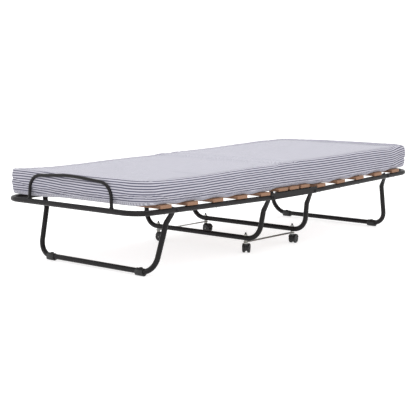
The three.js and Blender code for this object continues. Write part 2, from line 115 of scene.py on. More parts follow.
def in_half(end, points):
    return outward(end, points, (FOLD[0], FOLD[2]), RISE)


# ------------------------------------------------------------------ sizes and colours


def linear(code):
    """An sRGB hex colour as linear RGBA: c / 12.92 below 0.04045, else ((c + 0.055) / 1.055) ** 2.4."""
    parts = [int(code[i : i + 2], 16) / 255 for i in (1, 3, 5)]
    return tuple(c / 12.92 if c <= 0.04045 else ((c + 0.055) / 1.055) ** 2.4 for c in parts) + (1.0,)


def length_property(name, description, default):
    return bpy.props.FloatProperty(
        name=name, description=description, default=default, min=0.0, unit="LENGTH", subtype="DISTANCE"
    )


def colour_property(name, description, code):
    return bpy.props.FloatVectorProperty(
        name=name, description=description, default=linear(code), size=4, min=0.0, max=1.0, subtype="COLOR"
    )


class CotSizes(bpy.types.PropertyGroup):
    """Sizes of the cot that its frame doesn't fix."""

    tube: length_property("Tube", "Diameter of the frame and leg tubes", 22 * MM)
    rail_corner: length_property("Rail corner", "Bend radius of the frame's corners", 80 * MM)
    leg_corner: length_property("Leg corner", "Bend radius of the legs' lower corners", 70 * MM)
    hoop: length_property("Hoop", "Diameter of the mattress hoops", 13 * MM)
    hoop_corner: length_property("Hoop corner", "Bend radius of the hoops' shoulders", 62 * MM)
    hoop_rise: length_property("Hoop rise", "Middle of a hoop above its shoulders", 17 * MM)
    slat_edge: length_property("Slat edge", "Rounding of the slats' edges", 1.6 * MM)
    mattress_corner: length_property("Mattress corner", "Plan radius of the mattress", 40 * MM)
    soft_corner: length_property("Soft corner", "Plan radius of its most used corner", 85 * MM)
    top_roll: length_property("Top roll", "Radius of the mattress's upper edge", 20 * MM)
    low_roll: length_property("Low roll", "Radius of the mattress's lower edge", 9 * MM)
    crown: length_property("Raised edge", "Height of the rolled edge on the mattress", 12 * MM)
    stripe: length_property("Stripe pitch", "From one dark stripe of the ticking to the next", 10.2 * MM)


class CotColours(bpy.types.PropertyGroup):
    """Colours of the cot's finishes."""

    frame: colour_property("Frame", "Powder coat of the frame", "#131112")
    wood: colour_property("Wood", "Slats, early wood", "#8f6a50")
    wood_dark: colour_property("Dark wood", "Slats, late wood", "#553a2d")
    plastic: colour_property("Plastic", "Feet, plugs and casters", "#0b0b0b")
    zinc: colour_property("Zinc", "Nuts and screws", "#a9abad")
    steel: colour_property("Steel", "Link strips", "#6f6c69")
    bolt: colour_property("Bolt", "Pivot bolts and stems", "#1b1b1d")
    ground: colour_property("Ticking ground", "Pale yarn of the ticking", "#b6b5be")
    line: colour_property("Ticking stripe", "Dark yarn of the ticking", "#33314a")


# ------------------------------------------------------------------ surfaces


def ease(value, start, end):
    """0 before start, 1 after end, and 3t^2 - 2t^3 between them."""
    t = np.clip((value - start) / (end - start), 0, 1)
    return t * t * (3 - 2 * t)


def skin(rings, cap=True):
    """A closed surface through rings of points, an array (ring, point, 3).

    Each quad joins two neighbours on one ring to the same two on the next. With cap, each end is
    closed by a fan round the mean of its ring, else the last ring joins the first.
    """
    count, around = rings.shape[:2]
    index = np.arange(count * around).reshape(count, around)
    here = index[:-1] if cap else index
    there = index[1:] if cap else np.roll(index, -1, axis=0)
    beside, beyond = np.roll(here, -1, axis=1), np.roll(there, -1, axis=1)
    faces = np.stack([here, beside, beyond, there], axis=-1).reshape(-1, 4).tolist()
    points = rings.reshape(-1, 3)
    if cap:
        points = np.vstack([points, rings[0].mean(0), rings[-1].mean(0)])
        for ring, centre in ((index[0][::-1], count * around), (index[-1], count * around + 1)):
            fan = np.stack([ring, np.roll(ring, -1), np.full(around, centre)], axis=-1)
            faces += fan.tolist()
    return facing_out(points, faces)


def facing_out(points, faces):
    """Turns every face round where the closed surface has a negative volume.

    The volume is the sum, over a fan of triangles in each face, of a . (b x c) / 6.
    """
    fans = [(f[0], f[i], f[i + 1]) for f in faces for i in range(1, len(f) - 1)]
    a, b, c = (points[list(corner)] for corner in zip(*fans))
    if np.einsum("ij,ij->i", a, np.cross(b, c)).sum() < 0:
        faces = [face[::-1] for face in faces]
    return points, faces


def bent_line(corners, step=math.radians(4)):
    """Straight runs in a plane joined by arcs, from corners (a, b, radius).

    An arc starts radius * tan(turn / 2) before its corner, and its stations are evenly spaced in
    angle. Returns the stations and their unit tangents, both (n, 2).
    """
    spots = np.array([corner[:2] for corner in corners], float)
    runs = np.diff(spots, axis=0)
    runs /= np.linalg.norm(runs, axis=1)[:, None]
    points, tangents = [spots[:1]], [runs[:1]]
    for before, after, spot, corner in zip(runs, runs[1:], spots[1:], corners[1:]):
        turn = math.atan2(before[0] * after[1] - before[1] * after[0], before @ after)
        radius = corner[2] if len(corner) > 2 else 0.0
        if radius == 0.0 or abs(turn) < 1e-6:
            points.append(spot[None])
            tangents.append(after[None])
            continue
        angle = np.linspace(0, turn, max(2, math.ceil(abs(turn) / step) + 1))
        swing = np.array([[np.cos(angle), -np.sin(angle)], [np.sin(angle), np.cos(angle)]])
        inward = np.array([-before[1], before[0]]) * math.copysign(radius, turn)
        start = spot - before * radius * math.tan(abs(turn) / 2)
        points.append((start + inward) + np.einsum("ijk,j->ki", swing, -inward))
        tangents.append(np.einsum("ijk,j->ki", swing, before))
    points.append(spots[-1:])
    tangents.append(runs[-1:])
    return np.vstack(points), np.vstack(tangents)


def standing(flat):
    """(a, b) as (0, a, b): a line in the upright plane across the cot."""
    return np.insert(flat, 0, 0.0, axis=-1)


def lying(flat):
    """(a, b) as (a, b, 0): a line in the frame's plane."""
    return np.insert(flat, 2, 0.0, axis=-1)


def sweep(points, tangents, thick, wide, sides=28):
    """A bar along a plane line, from its half thickness in the plane and half width square to it.

    A section is a stadium: cos and sin of the angle times the half thickness, pushed apart by the
    difference of the two halves where cos is past a third.
    """
    plane = np.cross(tangents[0], tangents[len(tangents) // 2])
    plane = plane / np.linalg.norm(plane)
    across = np.cross(tangents, plane)
    angle = np.linspace(0, 2 * math.pi, sides, endpoint=False)
    thick = np.broadcast_to(thick, len(points))[:, None]
    wide = np.broadcast_to(wide, len(points))[:, None]
    out = thick * np.cos(angle) + (wide - thick) * np.clip(3 * np.cos(angle), -1, 1)
    side = thick * np.sin(angle)
    return skin(points[:, None] + out[..., None] * plane + side[..., None] * across[:, None])


def revolve(profile, sides):
    """Rings about the z axis, one for each (radius, z) row: (r cos angle, r sin angle, z)."""
    profile = np.array(profile, float)
    angle = np.linspace(0, 2 * math.pi, sides, endpoint=False)
    radius, height = profile[:, 0, None], profile[:, 1, None] + 0 * angle
    return np.stack([radius * np.cos(angle), radius * np.sin(angle), height], axis=-1)


def turned(profile, sides=32):
    """A turned solid on the z axis, each row of its profile a ring."""
    return skin(revolve(profile, sides))


def ring_of(profile, sides):
    """A turned solid with a bore: the profile's rows close on themselves."""
    return skin(revolve(profile, sides), cap=False)


def mirrored(corners):
    """The corners of a line's other half, in order, with their first coordinate reversed."""
    return [(-corner[0], *corner[1:]) for corner in corners[::-1]]


def arc(centre, radius, start, end, count):
    """count points on an arc, as (a, b) rows, with the angles in degrees."""
    angle = np.radians(np.linspace(start, end, count))
    return np.stack([centre[0] + radius * np.cos(angle), centre[1] + radius * np.sin(angle)], axis=-1)


def hexagon(width, bottom, top):
    """A nut on the z axis, width across its flats, with both rims chamfered."""
    corner = width / math.sqrt(3)
    chamfer = 0.12 * width
    inner = 0.9 * corner
    return turned(
        [(inner, bottom), (corner, bottom + chamfer / 2), (corner, top - chamfer / 2), (inner, top)], 6
    )


def rounded_block(size, radius, count=4):
    """A box with rounded edges, centred on the origin.

    Points on a sphere of the edge's radius are pushed apart along each axis, by their signs,
    until the sphere's eight parts stand at the box's corners.
    """
    edge = 1e-3
    quarter = np.linspace(edge, math.pi / 2 - edge, count)
    around = np.concatenate([quarter + k * math.pi / 2 for k in range(4)])
    height = np.concatenate([-quarter[::-1], quarter])[:, None]
    normal = np.stack(
        [np.cos(height) * np.cos(around), np.cos(height) * np.sin(around), np.sin(height) + 0 * around],
        axis=-1,
    )
    return skin(np.sign(normal) * (np.array(size) / 2 - radius) + radius * normal)


def prism(outline, thickness, bevel):
    """A flat plate on z from 0 to thickness, from a star-shaped outline, with bevelled rims."""
    outline = np.array(outline, float)
    middle = (outline.min(0) + outline.max(0)) / 2
    shrink = 1 - bevel / ((outline.max(0) - outline.min(0)) / 2)
    small = middle + (outline - middle) * shrink
    levels = [(small, 0.0), (outline, bevel), (outline, thickness - bevel), (small, thickness)]
    return skin(np.stack([np.insert(ring, 2, height, axis=-1) for ring, height in levels]))


def moved(shell, matrix=np.eye(3), offset=(0, 0, 0)):
    """A shell turned by a 3x3 matrix and then moved."""
    return facing_out(shell[0] @ np.array(matrix).T + np.array(offset), shell[1])


def about_z(angle):
    c, s = math.cos(angle), math.sin(angle)
    return np.array([[c, -s, 0], [s, c, 0], [0, 0, 1]])


Z_TO_Y = np.array([[1, 0, 0], [0, 0, 1], [0, -1, 0]])  # the z axis laid along +y
Z_TO_MINUS_Y = np.array([[1, 0, 0], [0, 0, -1], [0, 1, 0]])


# ------------------------------------------------------------------ pieces


def new_object(name, points, faces, material, crease=35):
    """A smooth-shaded mesh object with edges sharper than crease degrees kept sharp."""
    mesh = bpy.data.meshes.new(name)
    mesh.from_pydata(points.tolist(), [], faces)
    mesh.polygons.foreach_set("use_smooth", np.ones(len(mesh.polygons), bool))
    mesh.set_sharp_from_angle(angle=math.radians(crease))
    mesh.materials.append(material)
    made = bpy.data.objects.new(name, mesh)
    bpy.context.scene.collection.objects.link(made)
    return made


def add_piece(name, shells, material, body, slot, *nodes):
    """Joins closed shells into one piece that rides on a body and stands for CAD nodes."""
    starts = np.cumsum([0] + [len(points) for points, _ in shells])
    faces = [[i + start for i in face] for start, (_, part) in zip(starts.tolist(), shells) for face in part]
    made = new_object(name, np.vstack([points for points, _ in shells]), faces, material)
    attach(made, body)
    if nodes:
        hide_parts(*nodes)
    return made


def sizes():
    return bpy.context.scene.cot_sizes


def colours():
    return bpy.context.scene.cot_colours


# ------------------------------------------------------------------ materials


def add_node(tree, kind, inputs=(), **settings):
    """Adds one node. Settings are its own values, and inputs its sockets' values or their links."""
    made = tree.nodes.new(kind)
    for name, value in settings.items():
        setattr(made, name, value)
    for name, value in dict(inputs).items():
        if isinstance(value, bpy.types.NodeSocket):
            tree.links.new(value, made.inputs[name])
        else:
            made.inputs[name].default_value = value
    return made


def new_material(name, **sockets):
    """A material with a Principled shader whose named sockets hold these values."""
    found = bpy.data.materials.get(name)
    if found:
        return found, None, None
    made = bpy.data.materials.new(name)
    made.use_nodes = True
    tree = made.node_tree
    shader = tree.nodes["Principled BSDF"]
    for socket, value in sockets.items():
        shader.inputs[socket.replace("_", " ")].default_value = value
    return made, tree, shader


def maths(tree, operation, *values):
    """The result of one maths operation on values or links."""
    return add_node(tree, "ShaderNodeMath", dict(enumerate(values)), operation=operation).outputs[0]


def ramp(tree, value, start, stop, first, last, way="LINEAR"):
    """first where value is at start or before it, last at stop or after it."""
    ends = {"Value": value, "From Min": start, "From Max": stop, "To Min": first, "To Max": last}
    return add_node(tree, "ShaderNodeMapRange", ends, interpolation_type=way).outputs["Result"]


def object_place(tree):
    return add_node(tree, "ShaderNodeTexCoord").outputs["Object"]


def speckle(tree, vector, grain, detail=3.0):
    """A noise whose features are about grain metres across."""
    return add_node(
        tree, "ShaderNodeTexNoise", {"Vector": vector, "Scale": 0.6 / grain, "Detail": detail}
    ).outputs["Fac"]


def blend_colour(tree, share, first, second):
    """first where share is 0 and second where it is 1."""
    mixed = add_node(tree, "ShaderNodeMix", {0: share, 6: first, 7: second}, data_type="RGBA")
    return mixed.outputs[2]


def spread(tree, value, lowest, highest):
    """A noise value from about 0.3 to 0.7 stretched from lowest to highest."""
    return ramp(tree, value, 0.3, 0.7, lowest, highest)


def relief(tree, height, distance, strength=1.0):
    """A bump of that height in metres."""
    inputs = {"Height": height, "Distance": distance, "Strength": strength}
    return add_node(tree, "ShaderNodeBump", inputs).outputs["Normal"]


def wire(tree, shader, **values):
    """Links values to the shader's sockets, where _ in a name stands for a space."""
    for socket, value in values.items():
        tree.links.new(value, shader.inputs[socket.replace("_", " ")])


def shaded(colour, share):
    """A colour scaled towards black or past itself."""
    return tuple(min(1.0, c * share) for c in colour[:3]) + (1.0,)


def powder_coat():
    """Powder-coated steel: a satin near-black skin with the fine orange peel of melted powder."""
    made, tree, shader = new_material("powder_coated_steel", Metallic=0.0, Specular_IOR_Level=0.2)
    if tree:
        place = object_place(tree)
        base = tuple(colours().frame)
        patch = speckle(tree, place, 60 * MM)
        tint = blend_colour(tree, spread(tree, patch, 0, 1), shaded(base, 0.88), shaded(base, 1.16))
        dust = ramp(tree, speckle(tree, place, 3 * MM, 6), 0.64, 0.72, 0.0, 0.35)
        tint = blend_colour(tree, dust, tint, shaded(base, 2.2))
        wire(tree, shader, Base_Color=tint)
        peel = speckle(tree, place, 1.6 * MM, 2)
        wire(tree, shader, Roughness=spread(tree, peel, 0.34, 0.46))
        wire(tree, shader, Normal=relief(tree, peel, 0.05 * MM, 0.6))
    return made


def stained_pine():
    """Planed pine with a reddish stain: long dark late-wood lines, fine pores and paler end grain."""
    made, tree, shader = new_material("stained_pine_planed", Metallic=0.0, IOR=1.47)
    if tree:
        grain = add_node(tree, "ShaderNodeAttribute", attribute_name="grain").outputs["Vector"]
        along = {"Vector": grain, "Scale": (1.0, 0.05, 1.0)}
        stretched = add_node(tree, "ShaderNodeMapping", along, vector_type="POINT").outputs["Vector"]
        wander = speckle(tree, stretched, 14 * MM, 2)
        cross = add_node(tree, "ShaderNodeSeparateXYZ", {"Vector": grain}).outputs["X"]
        ring_width = 4.5 * MM
        rings = maths(tree, "MULTIPLY", cross, 1 / ring_width)
        saw = maths(tree, "FRACT", maths(tree, "MULTIPLY_ADD", wander, 7.0, rings))
        late = ramp(tree, saw, 0.45, 1.0, 0.0, 1.0, "SMOOTHSTEP")
        fibre = speckle(tree, stretched, 1.6 * MM, 5)
        dark = maths(tree, "MULTIPLY_ADD", late, 0.55, spread(tree, fibre, 0, 0.3))
        tint = blend_colour(tree, dark, tuple(colours().wood), tuple(colours().wood_dark))
        normal = add_node(tree, "ShaderNodeTexCoord").outputs["Normal"]
        facing = add_node(tree, "ShaderNodeSeparateXYZ", {"Vector": normal}).outputs["Y"]
        end = ramp(tree, maths(tree, "ABSOLUTE", facing), 0.7, 0.95, 0.0, 0.3)
        tint = blend_colour(tree, end, tint, shaded(colours().wood, 1.1))
        wire(tree, shader, Base_Color=tint)
        wire(tree, shader, Roughness=spread(tree, fibre, 0.5, 0.68))
        wire(tree, shader, Normal=relief(tree, dark, 0.15 * MM, 0.5))
    return made


def moulded_plastic(name="moulded_polypropylene", grain=0.9 * MM):
    """Moulded polypropylene: near black, with a spark-eroded matt grain."""
    made, tree, shader = new_material(name, Metallic=0.0, IOR=1.49)
    if tree:
        place = object_place(tree)
        base = tuple(colours().plastic)
        scuff = speckle(tree, place, 5 * MM, 5)
        tint = blend_colour(tree, spread(tree, scuff, 0, 1), shaded(base, 0.8), shaded(base, 1.8))
        wire(tree, shader, Base_Color=tint)
        fine = speckle(tree, place, grain, 2)
        wire(tree, shader, Roughness=spread(tree, fine, 0.4, 0.56))
        wire(tree, shader, Normal=relief(tree, fine, 0.06 * MM, 0.7))
    return made


def zinc_plate(name="zinc_plated_steel", colour="zinc"):
    """Bright zinc plating on steel: a cool metal with faint blue and straw patches."""
    made, tree, shader = new_material(name, Metallic=1.0)
    if tree:
        place = object_place(tree)
        base = tuple(getattr(colours(), colour))
        straw = (base[0] * 1.04, base[1] * 0.99, base[2] * 0.86, 1.0)
        patch = spread(tree, speckle(tree, place, 9 * MM), 0, 1)
        wire(tree, shader, Base_Color=blend_colour(tree, patch, base, straw))
        fine = speckle(tree, place, 0.8 * MM, 4)
        wire(tree, shader, Roughness=spread(tree, fine, 0.26, 0.42))
        wire(tree, shader, Normal=relief(tree, fine, 0.02 * MM, 0.5))
    return made


def black_oxide():
    """Black oxide on cold-headed steel: dark, oily and slightly blotched."""
    made, tree, shader = new_material("black_oxide_steel", Metallic=0.7)
    if tree:
        place = object_place(tree)
        base = tuple(colours().bolt)
        patch = spread(tree, speckle(tree, place, 3 * MM, 4), 0, 1)
        tint = blend_colour(tree, patch, shaded(base, 0.8), shaded(base, 1.6))
        wire(tree, shader, Base_Color=tint)
        wire(tree, shader, Roughness=spread(tree, speckle(tree, place, 1.2 * MM), 0.3, 0.48))
    return made


def ticking():
    """Woven cotton ticking: a pale twill with narrow dark lines.

    The lines run along the mattress on its top, by the y of the cloth, and round it on its sides,
    by the distance down from the upper edge. On the top panel the lines are drawn fainter than on
    the sides, which paints the top lighter: painted light from above. The twill is drawn at 2.4
    mm, about three times its real pitch, so that it shows.
    """
    made, tree, shader = new_material(
        "woven_cotton_ticking", Metallic=0.0, Roughness=0.9, Specular_IOR_Level=0.2
    )
    if tree:
        shader.inputs["Sheen Weight"].default_value = 0.08
        shader.inputs["Sheen Roughness"].default_value = 0.5
        cloth = add_node(tree, "ShaderNodeAttribute", attribute_name="cloth").outputs["Vector"]
        panel = add_node(tree, "ShaderNodeAttribute", attribute_name="panel").outputs["Fac"]
        parts = add_node(tree, "ShaderNodeSeparateXYZ", {"Vector": cloth})
        ways = {
            0: maths(tree, "GREATER_THAN", panel, 0.0),
            2: parts.outputs["Z"],
            3: parts.outputs["Y"],
        }
        across = add_node(tree, "ShaderNodeMix", ways, data_type="FLOAT").outputs[0]
        first_stripe = 0.57
        turns = maths(tree, "MULTIPLY_ADD", across, 1 / sizes().stripe, first_stripe)
        away = maths(tree, "SUBTRACT", maths(tree, "FRACT", turns), 0.5)
        away = maths(tree, "ABSOLUTE", away)
        line = ramp(tree, away, 0.23, 0.29, 1.0, 0.0, "SMOOTHSTEP")
        # Painted light: the lines are weaker on the top panel (0.4) than on the sides (0.85), so the top
        # reads lighter, as if lit from above.
        line = maths(tree, "MULTIPLY", line, ramp(tree, panel, 0.0, 60 * MM, 0.85, 0.4))
        slub = spread(tree, speckle(tree, cloth, 22 * MM, 4), 0, 1)
        ground = blend_colour(tree, slub, shaded(colours().ground, 0.96), shaded(colours().ground, 1.04))
        tint = blend_colour(tree, line, ground, tuple(colours().line))
        wire(tree, shader, Base_Color=tint)
        twill = add_node(
            tree,
            "ShaderNodeTexWave",
            {"Vector": cloth, "Scale": 0.314 / (2.4 * MM), "Distortion": 1.5, "Detail": 1.0},
            bands_direction="DIAGONAL",
        ).outputs["Fac"]
        wire(tree, shader, Normal=relief(tree, twill, 0.12 * MM, 0.35))
    return made


def studio_floor():
    """Translucent white acrylic lit from behind, so that shadows on it stay faint."""
    made, tree, shader = new_material("backlit_white_acrylic", Roughness=0.9)
    if tree:
        shader.inputs["Base Color"].default_value = linear("#c4c4c4")
        shader.inputs["Specular IOR Level"].default_value = 0.1
        shader.inputs["Emission Color"].default_value = linear("#ffffff")
        shader.inputs["Emission Strength"].default_value = 0.7
    return made


# ------------------------------------------------------------------ operators: the frame


class COT_OT_frame_tubes(bpy.types.Operator):
    """Build the two U-shaped half frames"""

    bl_idname = "cot.frame_tubes"
    bl_label = "Frame tubes"

    def execute(self, context):
        radius = sizes().tube / 2
        for end in ENDS:
            node = f"{end}_frame_tube"
            rail = high(node)[1] - radius
            start = abs(low("foot_frame_tube")[0]) - FOLD[0] + radius * math.sin(RISE)
            reach = (high("foot_frame_tube")[0] - radius - FOLD[0]) / math.cos(RISE)
            corner = sizes().rail_corner
            line, tangents = bent_line(
                [(start, rail), (reach, rail, corner), (reach, -rail, corner), (start, -rail)]
            )
            points, faces = sweep(lying(line), lying(tangents), radius, radius, 32)
            shell = (in_half(end, points), faces)
            add_piece(f"{end}_frame", [shell], powder_coat(), f"{end}_half", "frame_paint", node)
        return {"FINISHED"}


class COT_OT_hoops(bpy.types.Operator):
    """Build the mattress hoops, with the weld that swells at each foot"""

    bl_idname = "cot.hoops"
    bl_label = "Mattress hoops"

    def execute(self, context):
        radius = sizes().hoop / 2
        lean = 3 * MM
        crown_radius = 900 * MM
        foot, weld_height, weld_swell = 5.5 * MM, 4 * MM, 0.4
        plane = (high("foot_hoop")[0] - FOLD[0]) / math.cos(RISE) - radius
        top = (high("foot_hoop")[2] - FOLD[2] - plane * math.sin(RISE) - radius) / math.cos(RISE)
        half = high("foot_hoop")[1] - radius
        shoulder = top - sizes().hoop_rise
        corner = sizes().hoop_corner
        upright = [
            (half, foot),
            (half - 0.05 * lean, foot + weld_height),
            (half - 0.1 * lean, foot + 2.5 * weld_height),
            (half - lean, shoulder, corner),
        ]
        line, tangents = bent_line(upright + [(0, top, crown_radius)] + mirrored(upright))
        swell = radius * (1 + weld_swell * np.exp(-((line[:, 1] - foot - weld_height) / weld_height) ** 2))
        for end in ENDS:
            points, faces = sweep(standing(line), standing(tangents), swell, swell, 24)
            shell = (in_half(end, points + np.array([plane, 0, 0])), faces)
            add_piece(
                f"{end}_mattress_hoop", [shell], powder_coat(), f"{end}_half", "frame_paint", f"{end}_hoop"
            )
        return {"FINISHED"}


def leg_shell(node, origin, shoulder, shoulder_inset, bar_inset):
    """A U-shaped leg below the pivots at origin, in the end's own frame.

    Its tips are flattened: going up from the neck, the half thickness eases from the tube's
    radius to that of the flat, and the half width grows by a fifth.
    """
    radius = sizes().tube / 2
    flat, overrun, drop, flatten = 4 * MM, 11 * MM, 10 * MM, 40 * MM
    neck, neck_drop, tip_gap = 20 * MM, 16 * MM, 1 * MM
    rail = high("foot_frame_tube")[1] - radius
    tip = rail - radius - tip_gap - flat
    bar = np.array([high(node)[0] - radius, low(node)[2] + radius])
    splay = math.atan2(bar[0] - origin[0], origin[1] - bar[1])
    length = math.hypot(bar[0] - origin[0], origin[1] - bar[1])
    half = [
        (tip, overrun),
        (tip, 0),
        (tip, -drop),
        (tip, -neck_drop, neck),
        (rail - shoulder_inset, -shoulder, neck),
        (rail - bar_inset, -length, sizes().leg_corner),
    ]
    line, tangents = bent_line(half + mirrored(half))
    pressed = ease(line[:, 1], -drop - flatten, -drop)
    thick = radius + (flat - radius) * pressed
    return sweep(standing(line), standing(tangents), thick, radius * (1 + 0.2 * pressed), 32), splay


class COT_OT_legs(bpy.types.Operator):
    """Build the two folding end legs and the two middle legs"""

    bl_idname = "cot.legs"
    bl_label = "Legs"

    def execute(self, context):
        ends = (LEG_PIVOT[0], LEG_PIVOT[2])
        middle = (FOLD[0], FOLD[2])
        kinds = {
            "end_leg": ("foot_end_leg", ends, 55 * MM, 37 * MM, 53.5 * MM),
            "mid_leg": ("foot_mid_leg", middle, 60 * MM, 38 * MM, 58 * MM),
        }
        for end in ENDS:
            for kind, (node, origin, *shape) in kinds.items():
                (points, faces), splay = leg_shell(node, origin, *shape)
                shell = (outward(end, points, origin, splay), faces)
                body = f"{end}_leg" if kind == "end_leg" else "centre_section"
                name = f"{end}_folding_leg" if kind == "end_leg" else f"{end}_caster_leg"
                add_piece(name, [shell], powder_coat(), body, "frame_paint", f"{end}_{kind}")
        return {"FINISHED"}


class COT_OT_slats(bpy.types.Operator):
    """Build the thirteen slats, each cut from its own stretch of board"""

    bl_idname = "cot.slats"
    bl_label = "Slats"

    def execute(self, context):
        centre = [(f"centre_slat_{i}", "centre_section", 0.0) for i in (1, 2, 3)]
        halves = [(f"{e}_slat_{i}", f"{e}_half", RISE) for e in ENDS for i in range(1, 6)]
        size = high("centre_slat_2") - low("centre_slat_2")
        board = np.random.default_rng(7)
        for node, body, tilt in centre + halves:
            points, faces = rounded_block(size, sizes().slat_edge)
            end = "head" if node.startswith("head") else "foot"
            middle = midpoint(node)
            place = (abs(middle[0]) if tilt else middle[0], middle[2])
            shell = (outward(end, points, place, tilt), faces)
            name = node.replace("_slat_", "_board_")
            made = add_piece(name, [shell], stained_pine(), body, "slat_wood", node)
            grain = made.data.attributes.new("grain", "FLOAT_VECTOR", "POINT")
            grain.data.foreach_set("vector", (points + board.uniform(0, 3, 3)).ravel())
        return {"FINISHED"}


class COT_OT_centre_plates(bpy.types.Operator):
    """Build the plates that join the halves, with the flange under the centre slats"""

    bl_idname = "cot.centre_plates"
    bl_label = "Centre plates"

    def execute(self, context):
        thickness, cut, bevel = 2.5 * MM, 7 * MM, 0.4 * MM
        flange_width, flange_inset = 18 * MM, 29 * MM
        start, end = low("left_centre_plate"), high("left_centre_plate")
        half = end[0]
        outline, _ = bent_line(
            [
                (0, start[2]),
                (half - cut, start[2], cut),
                (half, start[2] + cut, cut),
                (half, end[2] - cut, cut),
                (half - cut, end[2], cut),
                (-half + cut, end[2], cut),
                (-half, end[2] - cut, cut),
                (-half, start[2] + cut, cut),
                (-half + cut, start[2], cut),
                (-1 * MM, start[2]),
            ]
        )
        web = moved(prism(outline, thickness, bevel), Z_TO_MINUS_Y)
        web = (web[0] + np.array([0, end[1] - web[0][:, 1].max(), 0]), web[1])
        flange = rounded_block((2 * (FOLD[0] - flange_inset), flange_width + thickness, thickness), bevel)
        middle = (0, end[1] - (flange_width + thickness) / 2, end[2] - thickness / 2)
        shells = [web, moved(flange, offset=middle)]
        for side, sign in SIDES.items():
            turn = about_z(0 if sign > 0 else math.pi)
            made = [moved(shell, turn) for shell in shells]
            add_piece(
                f"{side}_joining_plate", made, powder_coat(), "centre_section", "frame_paint",
                f"{side}_centre_plate",
            )
        return {"FINISHED"}


class COT_OT_pivot_bolts(bpy.types.Operator):
    """Build the eight pivot bolts, each with two washers and a lock nut"""

    bl_idname = "cot.pivot_bolts"
    bl_label = "Pivot bolts"

    def execute(self, context):
        head, nut, shank = 15 * MM, 6 * MM, 4 * MM
        head_height, washer, nut_width = 3.5 * MM, 1.0 * MM, 13 * MM
        for end, side in CORNERS:
            for kind, body in (("fold_bolt", "centre_section"), ("leg_bolt", f"{end}_half")):
                node = f"{end}_{side}_{kind}"
                start, stop = low(node), high(node)
                outer = max(abs(start[1]), abs(stop[1]))
                inner = min(abs(start[1]), abs(stop[1]))
                seat = outer - head_height
                base = seat + washer
                dome = arc((0, 0), 1.0, 0, 90, 8) * (head * 0.43, outer - base) + (0, base)
                socket = [(2.6 * MM, outer - 0.05 * MM), (2.4 * MM, outer - 1.6 * MM)]
                flat = head / 2
                shells = [
                    turned([(shank, inner), (shank, seat)], 20),
                    turned([(flat, seat), (flat, seat + washer)], 36),
                    turned(np.vstack([dome[:-2], socket]), 36),
                    turned([(flat * 0.93, inner + nut), (flat * 0.93, inner + nut + 0.25 * MM)], 30),
                    hexagon(nut_width, inner + 1.2 * MM, inner + nut),
                    turned(
                        [(5.2 * MM, inner), (5.6 * MM, inner + 0.6 * MM), (5.6 * MM, inner + 2 * MM)], 28
                    ),
                ]
                if kind == "leg_bolt":
                    rail = high("foot_frame_tube")[1] - sizes().tube
                    shells.append(turned([(9 * MM, rail - 0.8 * MM), (9 * MM, rail - 0.1 * MM)], 30))
                turn = Z_TO_Y if SIDES[side] > 0 else Z_TO_MINUS_Y
                middle = midpoint(node) * (1, 0, 1)
                shells = [moved(shell, turn, middle) for shell in shells]
                add_piece(f"{end}_{side}_{kind}_set", shells, black_oxide(), body, "bolt_steel", node)
        return {"FINISHED"}


class COT_OT_glides(bpy.types.Operator):
    """Build the plastic clips on which the end legs stand"""

    bl_idname = "cot.glides"
    bl_label = "Leg glides"

    def execute(self, context):
        tube = sizes().tube / 2
        bore, ring, rim = tube + 0.1 * MM, tube + 2.4 * MM, 1.3 * MM
        tab = np.array([9, 12, 7]) * MM
        for end, side in CORNERS:
            node = f"{end}_{side}_glide"
            start, stop = low(node), high(node)
            height = low(f"{end}_end_leg")[2] + tube
            bar = np.append(midpoint(node)[:2], height)
            angle = np.linspace(0, 2 * math.pi, 96, endpoint=False)
            down = np.where(np.sin(angle) < 0, 1.0, 0.0)
            sine, cosine = (np.maximum(1e-6, np.abs(wave(angle))) for wave in (np.sin, np.cos))
            box = np.minimum(height / sine, 13 * MM / cosine)
            outer = np.maximum(ring, np.minimum(box * down, 1.32 * ring))
            reach = (stop[1] - start[1]) / 2
            rings = []
            slope = 0.3 * rim
            stations = [(outer - rim, -reach), (outer - slope, -reach + slope), (outer, -reach + rim)]
            stations += [(outer, reach - rim), (outer - slope, reach - slope), (outer - rim, reach)]
            stations += [(bore + 0 * outer, reach), (bore + 0 * outer, -reach)]
            for radius, y in stations:
                floor = np.maximum(radius * np.sin(angle), -height)
                rings.append(np.stack([radius * np.cos(angle), y + 0 * angle, floor], axis=-1))
            clip = moved(skin(np.stack(rings), cap=False), offset=bar)
            lug = rounded_block(tab, 1.4 * MM)
            inner = -ENDS[end] * 3 * MM
            lug = moved(lug, offset=bar + np.array([inner, 0, ring + 2.5 * MM - tab[2] / 2]))
            add_piece(
                f"{end}_{side}_foot", [clip, lug], moulded_plastic(), f"{end}_leg", "black_plastic", node
            )
        return {"FINISHED"}


